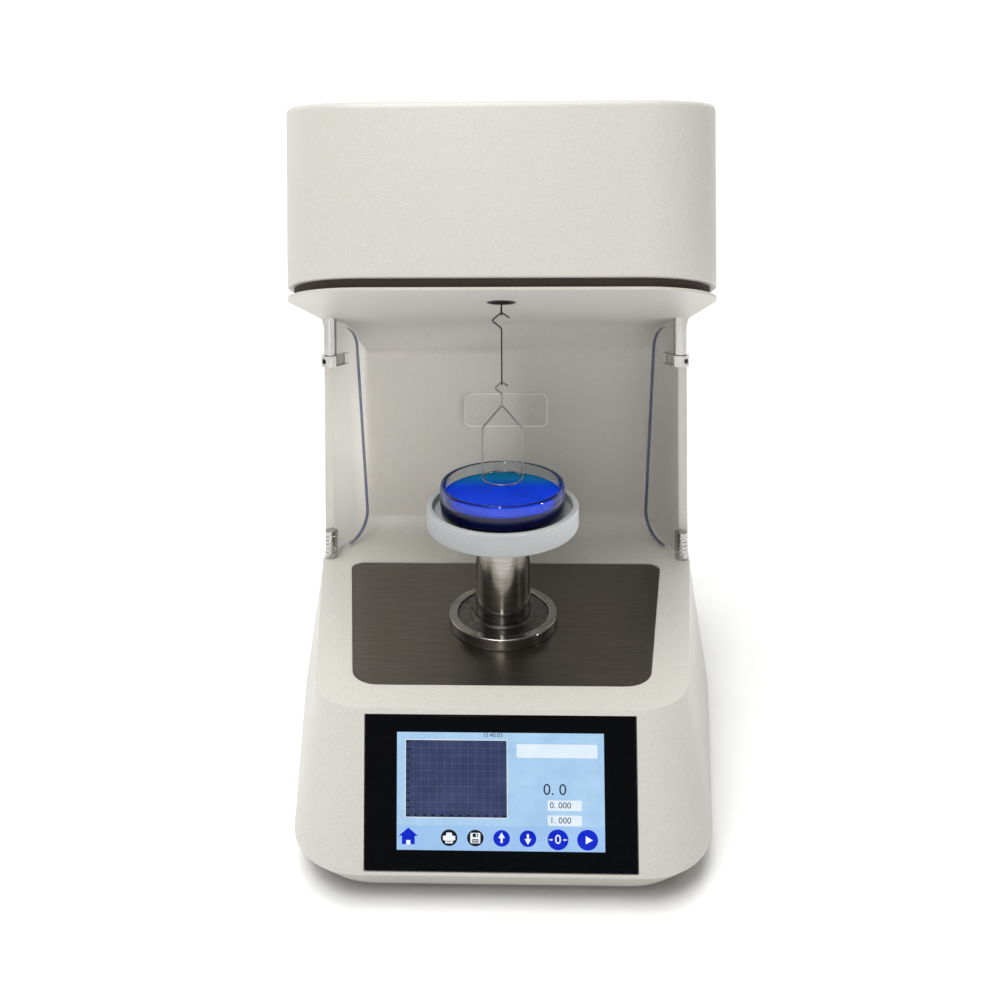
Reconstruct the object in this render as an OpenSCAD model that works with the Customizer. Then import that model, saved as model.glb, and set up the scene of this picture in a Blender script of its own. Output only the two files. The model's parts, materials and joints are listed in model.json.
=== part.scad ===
// Surface tensiometer: a ring pulled through a liquid hangs from a balance in the head,
// and a motor-driven stage in the base raises the dish to it. Front faces -Y, millimetres.

/* [Housing] */
// Width of the column and the head
body_w = 205; // [195:1:225]
// Width added on each side at the foot of the base
side_flare = 9.5; // [6:0.5:14]
// Distance that the foot stands in front of the top edge of the base
front_flare = 4.5; // [2:0.5:8]
// Distance that the foot stands behind the rear face
rear_flare = 5; // [2:0.5:8]
// Depth of the base at its foot
base_d = 248; // [240:1:270]
// Height of the top of the head above the table
body_h = 325; // [310:1:360]
// Height of the deck above the table
deck_z = 78; // [74:1:90]
// Width that each side of the base loses towards the front, per millimetre of depth
taper = 0.205; // [0.15:0.005:0.24]
// Wall thickness of the mouldings
wall = 3; // [2.5:0.1:3.5]
// Radius of the front corners at the foot of the base
base_corner = 32; // [26:1:34]
// Radius of the front corners at the top edge of the base
crease_corner = 24; // [18:1:24]
// Radius of the front corners of the head
head_corner = 40; // [30:1:46]
// Radius of the rear corners
rear_corner = 20; // [14:1:28]
// Depth from the wing edges to the seam of the rear cover
seam_back = 56; // [52:1:62]

/* [Head] */
// Distance from the foot's front edge back to the front of the head
head_setback = 33.5; // [28:0.5:40]
// Height of the chamber ceiling at the front of the head
ceiling_front_z = 242.5; // [238:0.5:250]
// Drop of the ceiling per millimetre of depth
ceiling_slope = 0.3; // [0.26:0.005:0.34]
// Thickness of the thin flange round the ceiling
flange_t = 1.2; // [0.8:0.1:1.6]
// Height of the shadow gap under the head cover
gap_h = 4.2; // [3:0.2:5]
// Height of the ledge inside the head cover
ledge_h = 2.6; // [2:0.2:4]
// Roundness of the top edge
top_round = 3; // [1:0.5:5]

/* [Chamber] */
// Distance from the foot's rear edge forward to the wing edges
wing_forward = 106; // [102:1:110]
// Depth of the chamber behind the wing edges
chamber_d = 32.5; // [30:0.5:36]
// Half width of the chamber at the wing edges
chamber_front_half = 99.5; // [98:0.1:100]
// Half width of the chamber at its back wall
chamber_back_half = 87; // [84:0.5:90]
// Fillet between ceiling and back wall
ceiling_fillet = 34; // [26:1:38]
// Fillet between deck and back wall
floor_fillet = 14; // [8:1:18]
// Fillet between the back wall and the sides
side_fillet = 14; // [8:1:18]
// Fillet at the upper end of the wing edges
wing_top_fillet = 12; // [6:1:14]
// Fillet at the lower end of the wing edges
wing_foot_fillet = 4; // [2:0.5:4.5]

/* [Deck] */
// Depth of the deck plate
deck_d = 110; // [104:1:112]
// Width of the deck plate at its back edge
deck_back_w = 170; // [160:1:176]
// Thickness of the deck plate
deck_t = 1.5; // [1:0.1:2]
// Distance from the foot's front edge back to the deck plate
deck_setback = 20; // [18:0.5:24]
// Radius of the front corners of the deck plate
deck_front_r = 13; // [8:1:16]
// Radius of the back corners of the deck plate
deck_back_r = 6; // [4:1:10]

/* [Stage] */
// Distance from the foot's front edge back to the stage axis
stage_setback = 71.5; // [70:0.5:76]
// Diameter of the lift post
post_dia = 26; // [22:1:30]
// Height of the underside of the sample table above the deck
table_lift = 46; // [40:1:48]
// Diameter of the sample table
table_dia = 73; // [70:1:78]
// Height of the sample table
table_h = 10.5; // [9:0.5:13]
// Depth of the seat for the dish
seat_depth = 4; // [3:0.5:5]
// Outer diameter of the glass dish
dish_dia = 60; // [56:1:62]
// Height of the glass dish
dish_h = 14; // [12:1:16]
// Thickness of the glass
glass_t = 1.6; // [1.2:0.1:2]
// Depth of the liquid in the dish
liquid_h = 6.8; // [5:0.2:7]
// Outer diameter of the stage collar
collar_dia = 52; // [48:1:58]
// Diameter of the guide bush flange
bush_dia = 43; // [40:1:45]
// Height of the stage collar above the deck plate
collar_h = 5; // [4:0.5:7]
// Diameter of the guide bush body below the deck
bush_body_dia = 34; // [32:1:38]

/* [Lift drive] */
// Distance from the wing edges back to the lead screw
screw_back = 70; // [66:1:74]
// Distance from the screw axis to each guide rod
rod_offset = 24; // [20:1:28]
// Diameter of the guide rods
rod_dia = 8; // [6:1:10]
// Diameter of the lead screw
screw_dia = 8; // [6:1:10]
// Height of the lift frame
frame_h = 112; // [106:1:118]
// Width of the stepper motor
motor_w = 42; // [35:1:43]
// Length of the stepper motor
motor_h = 34; // [28:1:40]
// Height of the carriage arm's underside above the table
arm_z = 36; // [35.5:0.5:38]
// Height of the carriage arm
arm_h = 10; // [8:0.5:12]

/* [Doors] */
// Width of each door from the pin axis
door_w = 30; // [26:1:31]
// Width of each door at its top
door_top_w = 20.5; // [18:0.5:24]
// Thickness of the doors
door_t = 2.5; // [2:0.1:3]
// Distance of the hinge axis in front of the wing edges
hinge_ahead = 5.6; // [5:0.1:6]
// Distance of the hinge axis in from the column's side
hinge_in = 4.7; // [4.4:0.1:5.5]
// Diameter of the hinge pins
pin_dia = 7; // [6:0.1:7.2]
// Length of the upper pin below the ceiling
pin_top_len = 20; // [16:1:24]
// Length of the lower pin above the deck
pin_foot_len = 15; // [12:1:20]
// Angle that the folded doors lean in
door_lean = 34; // [28:0.5:38]
// Corner radius of the doors
door_corner = 15; // [10:1:16]

/* [Ring] */
// Mean diameter of the measuring ring
ring_dia = 19.1; // [12.7:0.1:24]
// Wire diameter of the ring and its stirrup
wire_dia = 0.7; // [0.5:0.05:0.9]
// Height of the stirrup's sides
stirrup_h = 24; // [18:1:26]
// Height of the stirrup's shoulders
shoulder_h = 11; // [8:0.5:14]
// Height of the ring above the deck
ring_lift = 68.5; // [67:0.5:70]
// Length of the extension wire between its two ends
hanger_len = 22; // [16:1:26]
// Size of the open hooks
hook_size = 8; // [6:0.5:9]
// Diameter of the hole for the hook rod
hook_hole_dia = 14; // [10:0.5:18]
// Diameter of the hook rod
hook_rod_dia = 1.6; // [1.2:0.1:2]

/* [Display] */
// Width of the touch glass
glass_w = 109; // [100:1:110]
// Height of the touch glass
glass_h = 60; // [54:1:61]
// Thickness of the touch glass
touch_t = 2; // [1.5:0.1:3]
// Width of the lit area
screen_w = 84; // [70:1:90]
// Height of the lit area
screen_h = 48; // [40:1:50]
// Height of the glass's lower edge above the foot of the housing
glass_lift = 1.5; // [1:0.5:4]

/* [Fits] */
// Radial clearance of a running fit
run_fit = 0.05; // [0.02:0.01:0.1]
// Clearance round a part set into a recess
set_gap = 0.3; // [0.2:0.05:0.5]
// Gap kept between pieces that move past each other
air_gap = 0.5; // [0.3:0.1:1]

/* [Hidden] */

// Facets of the curved outlines, and a thin slab used where two outlines are blended
arc_steps = 10;
skin = 0.01;
$fn = 96;

// Heights of the foot
foot_h = 5;
foot_dia = 16;
foot_sink = 2;
pan_h = 9;
pan_tuck = 7;
pan_top_z = foot_h + pan_h;
floor_z = foot_h + wall;

// Places along the depth
front_y = -base_d / 2;
back_y = base_d / 2;
crease_y = front_y + front_flare;
rear_y = back_y - rear_flare;
head_y = front_y + head_setback;
wing_y = back_y - wing_forward;
chamber_y = wing_y + chamber_d;
seam_y = wing_y + seam_back;
stage_y = front_y + stage_setback;
deck_y = front_y + deck_setback;
screw_y = wing_y + screw_back;
hinge_y = wing_y - hinge_ahead;
half_w = body_w / 2;
hinge_x = half_w - hinge_in;
cover_rise = flange_t + gap_h;
pin_seat = cover_rise - set_gap;
// Length by which cuts run past the body
overcut = 20;

// Ceiling
ceiling_tilt = atan(ceiling_slope);
ceiling_rise = 1 / cos(ceiling_tilt);
function ceiling_at(y) = ceiling_front_z - ceiling_slope * (y - head_y);

// Stage stack
deck_drop = 0.4;
deck_top_z = deck_z - deck_drop;
deck_wall = wall + deck_t + deck_drop;
table_z = deck_z + table_lift;
table_rim = 2.8;
seat_z = table_z + table_h - seat_depth;
spigot_dia = 12;
spigot_h = 4;
liquid_top_z = seat_z + glass_t + liquid_h;
arm_top_z = arm_z + arm_h;
bush_drop = 12;

// Lift frame
frame_half = 34;
frame_reach = 20;
plate_t = 4;
frame_floor_z = floor_z + plate_t;
frame_top_z = frame_h;
coupling_dia = 18;
coupling_h = 20;
coupling_z = frame_top_z - plate_t - coupling_h - 2;
shaft_dia = 5;
bearing_dia = 16;
bearing_h = 5;
bushing_dia = rod_dia + 5;
nut_dia = screw_dia + 5;
nut_flange_dia = nut_dia + 7;
nut_flange_h = 3;
carriage_half = rod_offset + bushing_dia / 2 + 3;
carriage_reach = nut_flange_dia / 2 + 2;
arm_half = 13;
pad_dia = post_dia + 8;

// Ring and hooks
eye_r = 1.8;
eye_wire = wire_dia + 0.1;
bend_r = 1.2;
hook_neck = 0.95 * hook_size;
hook_hang = eye_r - wire_dia - 0.67;
eye_drop = hook_neck + 4;
ring_z = deck_z + ring_lift;
ring_apex_z = ring_z + stirrup_h + shoulder_h;
hanger_foot_z = ring_apex_z + eye_drop;
hanger_top_z = hanger_foot_z + hanger_len;
rod_foot_z = hanger_top_z + eye_drop;

// Front face
face_tilt = atan(front_flare / (deck_z - pan_top_z));
face_h = (deck_z - pan_top_z) / cos(face_tilt);
screen_raise = 1;
module_rim = 4;
pad_t = 3;
bracket_t = 1.5;

// Weighing head
cell_z = ceiling_front_z + 16;
cell_h = 18;
cell_half = 8;
cell_reach = 66;
bracket_len = 30;
cell_hole_dia = 11;

// Screws and bosses
screw_r = 1.5;
head_r = 3;
head_t = 2;
boss_r = 4.5;
pan_bosses = [[54, crease_y + 26], [90, hinge_y + 18]];
rear_boss_x = 72;
pan_screw_len = 14;
rear_grip = 8;
rear_boss_low_z = deck_z + 16;
rear_boss_high_z = 180;

// Rear panel
inlet_at = [-56, 128];
inlet_size = [28, 20];
switch_at = [56, 128];
switch_size = [14, 20];
port_at = [56, 160];
port_size = [30, 12];
panel_depth = 16;

// Rounds the corner b of a-b-c with radius r
function unit(v) = v / norm(v);
function corner(a, b, c, r) =
    let(u = unit(a - b), w = unit(c - b), lean = acos(u * w) / 2,
        mid = b + unit(u + w) * r / sin(lean),
        start = b + u * r / tan(lean) - mid,
        end = b + w * r / tan(lean) - mid,
        from = atan2(start[1], start[0]),
        turn = atan2(end[1], end[0]) - from,
        sweep = turn > 180 ? turn - 360 : turn < -180 ? turn + 360 : turn)
    [for (i = [0:arc_steps]) mid + r * [cos(from + sweep * i / arc_steps), sin(from + sweep * i / arc_steps)]];
function rounded(p, r) =
    let(n = len(p))
    [for (i = [0:n - 1]) each (r[i] > 0 ? corner(p[(i + n - 1) % n], p[i], p[(i + 1) % n], r[i]) : [p[i]])];

// Plan outlines: base with tapered flanks, and column with the round-cornered head
function base_outline(side, front, rear, front_r, rear_r) =
    let(nose = side - taper * (hinge_y - front))
    rounded([[-nose, front], [nose, front], [side, hinge_y], [side, rear], [-side, rear], [-side, hinge_y]],
        [front_r, front_r, 3 * head_corner, rear_r, rear_r, 3 * head_corner]);
function column_outline(inset) =
    let(x = half_w - inset, a = head_y + inset, b = rear_y - inset)
    rounded([[-x, a], [x, a], [x, b], [-x, b]],
        [head_corner - inset, head_corner - inset, rear_corner - inset, rear_corner - inset]);
function deck_outline(grow) =
    let(back = deck_y + deck_d, b = deck_back_w / 2, f = b - taper * deck_d)
    rounded([[-f - grow, deck_y - grow], [f + grow, deck_y - grow], [b + grow, back + grow], [-b - grow, back + grow]],
        [deck_front_r, deck_front_r, deck_back_r, deck_back_r]);

// Stands a (y, z) profile up and runs it along x
module along_x(w) {
    rotate([90, 0, 90]) linear_extrude(w, center = true) children();
}
module at_front() {
    translate([0, front_y, pan_top_z]) rotate([-face_tilt, 0, 0]) children();
}
module at_ceiling(y) {
    translate([0, y, ceiling_at(y)]) rotate([-ceiling_tilt, 0, 0]) children();
}
module slab(z, outline) {
    translate([0, 0, z]) linear_extrude(skin) polygon(outline);
}

// Whole body, drawn in by inset
module base_solid(inset) {
    hull() {
        slab(deck_z - skin - (inset > 0 ? deck_wall : 0),
            base_outline(half_w - inset, crease_y + inset, rear_y - inset,
                crease_corner - inset, rear_corner - inset));
        slab(pan_top_z - (inset > 0 ? 1 : 0),
            base_outline(half_w + side_flare - inset, front_y + inset, back_y - inset,
                base_corner - inset, rear_corner - inset));
    }
}
module column_solid(inset) {
    from = inset > 0 ? deck_z - wall : deck_z;
    translate([0, 0, from]) linear_extrude(body_h - inset - from - (inset > 0 ? 0 : top_round))
        polygon(column_outline(inset));
    // Way between the base and the column for the lift frame
    if (inset > 0)
        translate([rear_corner - half_w, chamber_y + wall, deck_z - 2 * wall])
            cube([body_w - 2 * rear_corner, rear_y - inset - chamber_y - wall, 2 * wall]);
    if (inset == 0)
        hull() {
            slab(body_h - top_round - skin, column_outline(0));
            for (i = [1:3])
                slab(body_h - skin - top_round * (1 - sin(30 * i)), column_outline(top_round * (1 - cos(30 * i))));
        }
}
module body_solid(inset) {
    base_solid(inset);
    column_solid(inset);
}

// Open space in front of the wings and inside the chamber, enlarged by grow
module open_space(grow) {
    far = front_y - overcut;
    top = grow * ceiling_rise;
    along_x(2 * body_w)
        polygon(rounded([[far, deck_z - grow], [wing_y + grow, deck_z - grow],
            [wing_y + grow, ceiling_at(wing_y + grow) + top], [far, ceiling_at(far) + top]],
            [0, wing_foot_fillet + grow, wing_top_fillet + grow, 0]));
    intersection() {
        along_x(2 * body_w)
            polygon(rounded([[far, deck_z - grow], [chamber_y + grow, deck_z - grow],
                [chamber_y + grow, ceiling_at(chamber_y + grow) + top], [far, ceiling_at(far) + top]],
                [0, floor_fillet + grow, ceiling_fillet + grow, 0]));
        linear_extrude(body_h)
            polygon(rounded([[-chamber_front_half - grow, far], [chamber_front_half + grow, far],
                [chamber_front_half + grow, hinge_y], [chamber_back_half + grow, chamber_y + grow],
                [-chamber_back_half - grow, chamber_y + grow], [-chamber_front_half - grow, hinge_y]],
                [0, 0, 0, side_fillet + grow, side_fillet + grow, 0]));
    }
}
module body_shell() {
    difference() {
        body_solid(0);
        difference() {
            body_solid(wall);
            open_space(wall);
        }
        open_space(0);
    }
}

// Everything above the ceiling plane raised by rise
module above_ceiling(rise) {
    low = front_y - overcut;
    high = back_y + overcut;
    along_x(2 * body_w)
        polygon([[low, ceiling_at(low) + rise * ceiling_rise], [high, ceiling_at(high) + rise * ceiling_rise],
            [high, body_h + overcut], [low, body_h + overcut]]);
}
module behind_seam() {
    translate([-body_w, seam_y, 0]) cube([2 * body_w, base_d, body_h + overcut]);
}
// Band between two heights above the ceiling plane
module ceiling_band(low, high) {
    difference() {
        above_ceiling(low);
        above_ceiling(high);
    }
}
module column_block(inset) {
    translate([0, 0, deck_z - overcut]) linear_extrude(body_h) polygon(column_outline(inset));
}

module main_housing() {
    color("#e2dfd8") difference() {
        union() {
            difference() {
                body_shell();
                above_ceiling(cover_rise);
                behind_seam();
            }
            // Rim that carries the head cover
            intersection() {
                ceiling_band(0, cover_rise);
                difference() {
                    column_block(wall);
                    column_block(2 * wall);
                    open_space(0);
                    behind_seam();
                }
            }
            housing_bosses();
        }
        // Shadow gap round the rim
        difference() {
            ceiling_band(flange_t, cover_rise);
            column_block(wall);
        }
        // Recess and openings of the deck
        translate([0, 0, deck_top_z - deck_t]) linear_extrude(wall) polygon(deck_outline(set_gap));
        translate([0, stage_y, floor_z + plate_t]) cylinder(h = deck_z, d = bush_body_dia + 2 * set_gap);
        // Recess for the touch glass and window for the display
        at_front() {
            translate([-glass_w / 2 - set_gap, -1, glass_lift - set_gap])
                cube([glass_w + 2 * set_gap, touch_t + 1, glass_h + 2 * set_gap]);
            translate([-module_w() / 2 - set_gap, -1, module_z() - set_gap])
                cube([module_w() + 2 * set_gap, wall + 2 * pad_t, module_h() + 2 * set_gap]);
        }
        at_ceiling(stage_y) translate([0, 0, -wall]) cylinder(h = 4 * wall, d = hook_hole_dia);
        for (side = [-1, 1]) {
            translate([side * hinge_x, hinge_y, deck_z - pin_seat]) cylinder(h = 2 * pin_seat, r = pin_dia / 2 + run_fit);
            translate([side * hinge_x, hinge_y, hinge_top_z() - 2 * pin_seat])
                cylinder(h = 3 * pin_seat, r = pin_dia / 2 + run_fit);
            for (spot = pan_bosses)
                translate([side * spot[0], spot[1], floor_z - 1])
                    cylinder(h = pan_screw_len, r = screw_r + run_fit);
            for (z = [rear_boss_low_z, rear_boss_high_z])
                translate([side * rear_boss_x, seam_y + 1, z]) rotate([90, 0, 0])
                    cylinder(h = seam_y - chamber_y - wall, r = screw_r + run_fit);
        }
    }
}
function hinge_top_z() = ceiling_at(hinge_y);
function module_w() = screen_w + 2 * module_rim;
function module_h() = screen_h + module_rim;
function module_z() = glass_lift + (glass_h - module_h()) / 2 + screen_raise;

// Bosses and pads moulded inside the main housing
module housing_bosses() {
    for (side = [-1, 1]) {
        for (spot = pan_bosses)
            translate([side * spot[0], spot[1], floor_z]) cylinder(h = deck_z - 1 - floor_z, r = boss_r);
        for (z = [rear_boss_low_z, rear_boss_high_z])
            translate([side * rear_boss_x, seam_y, z]) rotate([90, 0, 0])
                cylinder(h = seam_y - chamber_y - 1, r = boss_r);
        intersection() {
            union() {
                translate([side * hinge_x, hinge_y, deck_z - 2 * pin_seat])
                    cylinder(h = 2 * pin_seat, r = pin_dia / 2 + 2);
                translate([side * hinge_x, hinge_y, hinge_top_z() - pin_seat])
                    cylinder(h = 3 * pin_seat, r = pin_dia / 2 + 2);
            }
            difference() {
                column_block(0.5);
                open_space(0);
                above_ceiling(cover_rise);
            }
        }
    }
    intersection() {
        at_front()
            translate([-glass_w / 2 - 4, 1, 0]) cube([glass_w + 8, wall + pad_t - 1, glass_lift + glass_h]);
        base_solid(0);
    }
}

module head_cover() {
    color("#e6e3dc") difference() {
        union() {
            difference() {
                body_shell();
                behind_seam();
            }
            // Ledge that rests on the rim of the main housing
            intersection() {
                ceiling_band(cover_rise, cover_rise + ledge_h);
                difference() {
                    column_block(0);
                    column_block(2 * wall);
                    behind_seam();
                }
            }
        }
        translate([0, 0, -body_h]) difference() {
            translate([-body_w, -base_d, 0]) cube([2 * body_w, 2 * base_d, 3 * body_h]);
            translate([0, 0, body_h]) above_ceiling(cover_rise);
        }
    }
}

module rear_cover() {
    color("#dcd9d2") difference() {
        union() {
            intersection() {
                body_shell();
                behind_seam();
            }
            for (side = [-1, 1]) {
                for (z = [rear_boss_low_z, rear_boss_high_z])
                    translate([side * rear_boss_x, rear_y - 1, z]) rotate([90, 0, 0])
                        cylinder(h = rear_y - 1 - seam_y, r = boss_r);
            }
        }
        for (side = [-1, 1]) {
            for (z = [rear_boss_low_z, rear_boss_high_z])
                translate([side * rear_boss_x, rear_y + 1, z]) rotate([90, 0, 0]) {
                    cylinder(h = rear_y, r = screw_r + run_fit);
                    cylinder(h = 1 + head_t, r = head_r + set_gap);
                }
        }
        rear_cutout(inlet_at, inlet_size);
        rear_cutout(switch_at, switch_size);
        rear_cutout(port_at, port_size);
        for (i = [0:vent_count - 1])
            translate([-vent_w / 2, rear_y - 2 * wall, vent_z + i * vent_pitch])
                cube([vent_w, 4 * wall, vent_h]);
    }
}
vent_count = 9;
vent_w = 90;
vent_h = 3;
vent_pitch = 7;
vent_z = 205;
module rear_cutout(at, size) {
    translate([at[0] - size[0] / 2, rear_y - 2 * wall, at[1] - size[1] / 2])
        cube([size[0], 4 * wall, size[1]]);
}

module pan_outline_solid(inset) {
    hull() {
        slab(pan_top_z - skin,
            base_outline(half_w + side_flare - inset, front_y + inset, back_y - inset,
                base_corner - inset, rear_corner - inset));
        slab(foot_h,
            base_outline(half_w + side_flare - pan_tuck - inset, front_y + pan_tuck + inset,
                back_y - pan_tuck - inset, base_corner - inset, rear_corner - inset));
    }
}
foot_spots = [[68, front_y + 32], [86, back_y - 32]];
module at_feet() {
    for (side = [-1, 1]) {
        for (spot = foot_spots)
            translate([side * spot[0], spot[1], 0]) children();
    }
}
module at_pan_bosses() {
    for (side = [-1, 1]) {
        for (spot = pan_bosses)
            translate([side * spot[0], spot[1], 0]) children();
    }
}
module base_pan() {
    color("#c9c6bf") difference() {
        pan_outline_solid(0);
        intersection() {
            pan_outline_solid(wall);
            translate([-base_d, -base_d, floor_z]) cube([2 * base_d, 2 * base_d, pan_h + 1]);
        }
        at_feet() translate([0, 0, foot_h - 1]) cylinder(h = foot_sink + 1, d = foot_dia + 2 * set_gap);
        at_pan_bosses() {
            cylinder(h = body_h, r = screw_r + set_gap);
            cylinder(h = foot_h + head_t, r = head_r + set_gap);
        }
    }
}
module rubber_feet() {
    color("#2a2a2c") at_feet() rotate_extrude()
        polygon([[0, 0], [foot_dia / 2 - 1, 0], [foot_dia / 2, 1], [foot_dia / 2, foot_h + foot_sink],
            [0, foot_h + foot_sink]]);
}
module screw(length) {
    difference() {
        union() {
            cylinder(h = head_t, r = head_r);
            cylinder(h = length, r = screw_r);
        }
        translate([0, 0, -1]) cylinder(h = 2, r = screw_r, $fn = 6);
    }
}
module pan_screws() {
    color("#55565a") at_pan_bosses() translate([0, 0, foot_h]) screw(pan_screw_len);
}
module rear_screws() {
    color("#55565a") for (side = [-1, 1]) {
        for (z = [rear_boss_low_z, rear_boss_high_z])
            translate([side * rear_boss_x, rear_y, z]) rotate([90, 0, 0]) screw(rear_y - seam_y + rear_grip);
    }
}

module deck_plate() {
    color("#6e6c66") difference() {
        translate([0, 0, deck_top_z - deck_t]) linear_extrude(deck_t) polygon(deck_outline(0));
        translate([0, stage_y, 0]) cylinder(h = deck_z, d = bush_body_dia + 2 * set_gap);
    }
}
module stage_collar() {
    color("#8a8883") translate([0, stage_y, deck_top_z]) rotate_extrude()
        polygon([[bush_dia / 2 + set_gap, 0], [collar_dia / 2, 0], [collar_dia / 2, collar_h - 0.6],
            [collar_dia / 2 - 0.6, collar_h], [bush_dia / 2 + set_gap, collar_h]]);
}
module guide_bush() {
    bore_r = post_dia / 2 + run_fit;
    color("#6f6e6b") translate([0, stage_y, deck_top_z]) rotate_extrude()
        polygon([[bore_r, -bush_drop], [bush_body_dia / 2, -bush_drop], [bush_body_dia / 2, 0], [bush_dia / 2, 0],
            [bush_dia / 2, collar_h - 0.8], [bore_r + 1, collar_h - 0.8], [bore_r + 1, collar_h], [bore_r, collar_h]]);
}

module lift_post() {
    color("#9a9894") translate([0, stage_y, arm_top_z]) {
        cylinder(h = table_z - arm_top_z, d = post_dia);
        cylinder(h = table_z - arm_top_z + spigot_h, d = spigot_dia);
    }
}
module sample_table() {
    r = table_dia / 2;
    color("#eef0f2") translate([0, stage_y, table_z]) rotate_extrude()
        polygon([[spigot_dia / 2 + run_fit, 0], [r - 2, 0], [r - 1, 0.8], [r, table_h - 0.6], [r - 0.6, table_h],
            [r - table_rim, table_h], [r - table_rim, table_h - seat_depth], [0, table_h - seat_depth],
            [0, spigot_h + run_fit], [spigot_dia / 2 + run_fit, spigot_h + run_fit]]);
}
module glass_dish() {
    r = dish_dia / 2;
    color("#cfe0e8", 0.4) translate([0, stage_y, seat_z]) rotate_extrude()
        polygon([[0, 0], [r - 2, 0], [r - 1, 1], [r, dish_h - 1], [r - 0.5, dish_h], [r - glass_t + 0.5, dish_h],
            [r - glass_t, dish_h - 1], [r - glass_t - 1, glass_t + 1], [r - glass_t - 2, glass_t], [0, glass_t]]);
}
module sample_liquid() {
    r = dish_dia / 2 - glass_t - set_gap;
    color("#0b3fd0") translate([0, stage_y, seat_z + glass_t]) rotate_extrude()
        polygon([[0, 0], [r - 2, 0], [r - 1, 1], [r - 0.5, liquid_h], [0, liquid_h]]);
}

module touch_glass() {
    color("#0a0c12") at_front() translate([-glass_w / 2, 0, glass_lift]) cube([glass_w, touch_t, glass_h]);
}
module display_module() {
    color("#2f5fae") at_front() translate([-module_w() / 2, touch_t + run_fit, module_z()])
        cube([module_w(), wall + pad_t - touch_t - run_fit, module_h()]);
}
module display_bracket() {
    color("#8b8d90") at_front() translate([-glass_w / 2, wall + pad_t, glass_lift + 6])
        cube([glass_w, bracket_t, glass_h - 10]);
}

// Frame that stands on the base pan behind the chamber and carries the lift drive
module at_rods() {
    for (side = [-1, 1])
        translate([side * rod_offset, screw_y, 0]) children();
}
module lift_frame() {
    y = screw_y - frame_reach;
    color("#a5a7aa") difference() {
        translate([-frame_half, y, floor_z]) cube([2 * frame_half, 2 * frame_reach + plate_t, frame_top_z - floor_z]);
        translate([-frame_half - 1, y - 1, frame_floor_z])
            cube([2 * frame_half + 2, 2 * frame_reach + 1, frame_top_z - plate_t - frame_floor_z]);
        at_rods() cylinder(h = frame_top_z - plate_t + plate_t / 2, d = rod_dia);
        translate([0, screw_y, frame_top_z - plate_t - 1]) cylinder(h = plate_t + 2, d = shaft_dia + 2 * set_gap);
    }
}
module guide_rods() {
    color("#c4c6c8") at_rods() translate([0, 0, frame_floor_z - plate_t])
        cylinder(h = frame_top_z - plate_t / 2 - frame_floor_z + plate_t, d = rod_dia);
}
module screw_bearing() {
    color("#b0a070") translate([0, screw_y, frame_floor_z]) difference() {
        cylinder(h = bearing_h, d = bearing_dia);
        translate([0, 0, -1]) cylinder(h = bearing_h + 2, d = screw_dia + 2 * run_fit);
    }
}
module stepper_motor() {
    color("#3a3b3e") difference() {
        intersection() {
            translate([-motor_w / 2, screw_y - motor_w / 2, frame_top_z]) cube([motor_w, motor_w, motor_h]);
            translate([0, screw_y, frame_top_z]) cylinder(h = motor_h, d = motor_w * 1.28);
        }
        translate([0, screw_y, frame_top_z - 1]) cylinder(h = motor_h - 4, d = shaft_dia + 2 * run_fit);
    }
}
module motor_shaft() {
    color("#c8cacc") translate([0, screw_y, coupling_z + coupling_h / 2 + 1])
        cylinder(h = frame_top_z + motor_h - 8 - coupling_z - coupling_h / 2 - 1, d = shaft_dia);
}
module shaft_coupling() {
    color("#b9bbbe") translate([0, screw_y, coupling_z]) difference() {
        cylinder(h = coupling_h, d = coupling_dia);
        translate([0, 0, -1]) cylinder(h = coupling_h / 2 + 1, d = screw_dia);
        translate([0, 0, coupling_h / 2 + 1]) cylinder(h = coupling_h, d = shaft_dia);
        for (i = [1:3])
            translate([0, 0, coupling_h / 2 - 4 + 2 * i]) difference() {
                cylinder(h = 0.8, d = coupling_dia + 1);
                cylinder(h = 0.8, d = coupling_dia - 3);
            }
    }
}
module lead_screw() {
    color("#d0d0cc") translate([0, screw_y, frame_floor_z])
        cylinder(h = coupling_z + coupling_h / 2 - frame_floor_z, d = screw_dia);
}
module carriage() {
    color("#b4b6b9") difference() {
        union() {
            translate([-carriage_half, screw_y - carriage_reach, arm_z])
                cube([2 * carriage_half, 2 * carriage_reach, arm_h]);
            translate([-arm_half, stage_y, arm_z]) cube([2 * arm_half, screw_y - stage_y, arm_h]);
            translate([0, stage_y, arm_z]) cylinder(h = arm_h, d = pad_dia);
        }
        at_rods() translate([0, 0, arm_z - 1]) cylinder(h = arm_h + 2, d = bushing_dia);
        translate([0, screw_y, arm_z - 1]) cylinder(h = arm_h + 2, d = nut_dia);
    }
}
module lift_nut() {
    color("#b8913f") translate([0, screw_y, arm_z]) difference() {
        union() {
            cylinder(h = arm_h + nut_flange_h, d = nut_dia);
            translate([0, 0, arm_h]) cylinder(h = nut_flange_h, d = nut_flange_dia);
        }
        translate([0, 0, -1]) cylinder(h = arm_h + nut_flange_h + 2, d = screw_dia + 2 * run_fit);
    }
}
module rod_bushings() {
    color("#a08040") at_rods() translate([0, 0, arm_z]) difference() {
        cylinder(h = arm_h + nut_flange_h, d = bushing_dia);
        translate([0, 0, -1]) cylinder(h = arm_h + nut_flange_h + 2, d = rod_dia + 2 * run_fit);
    }
}
switch_w = 6;
switch_h = 12;
lift_up = 5.5;
module limit_switches() {
    back = screw_y + frame_reach;
    color("#1f2023") for (z = [arm_top_z + lift_up + 4, floor_z + plate_t])
        translate([-carriage_half - 4, back - switch_w, z]) cube([switch_h, switch_w, switch_h - 2]);
}

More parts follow.
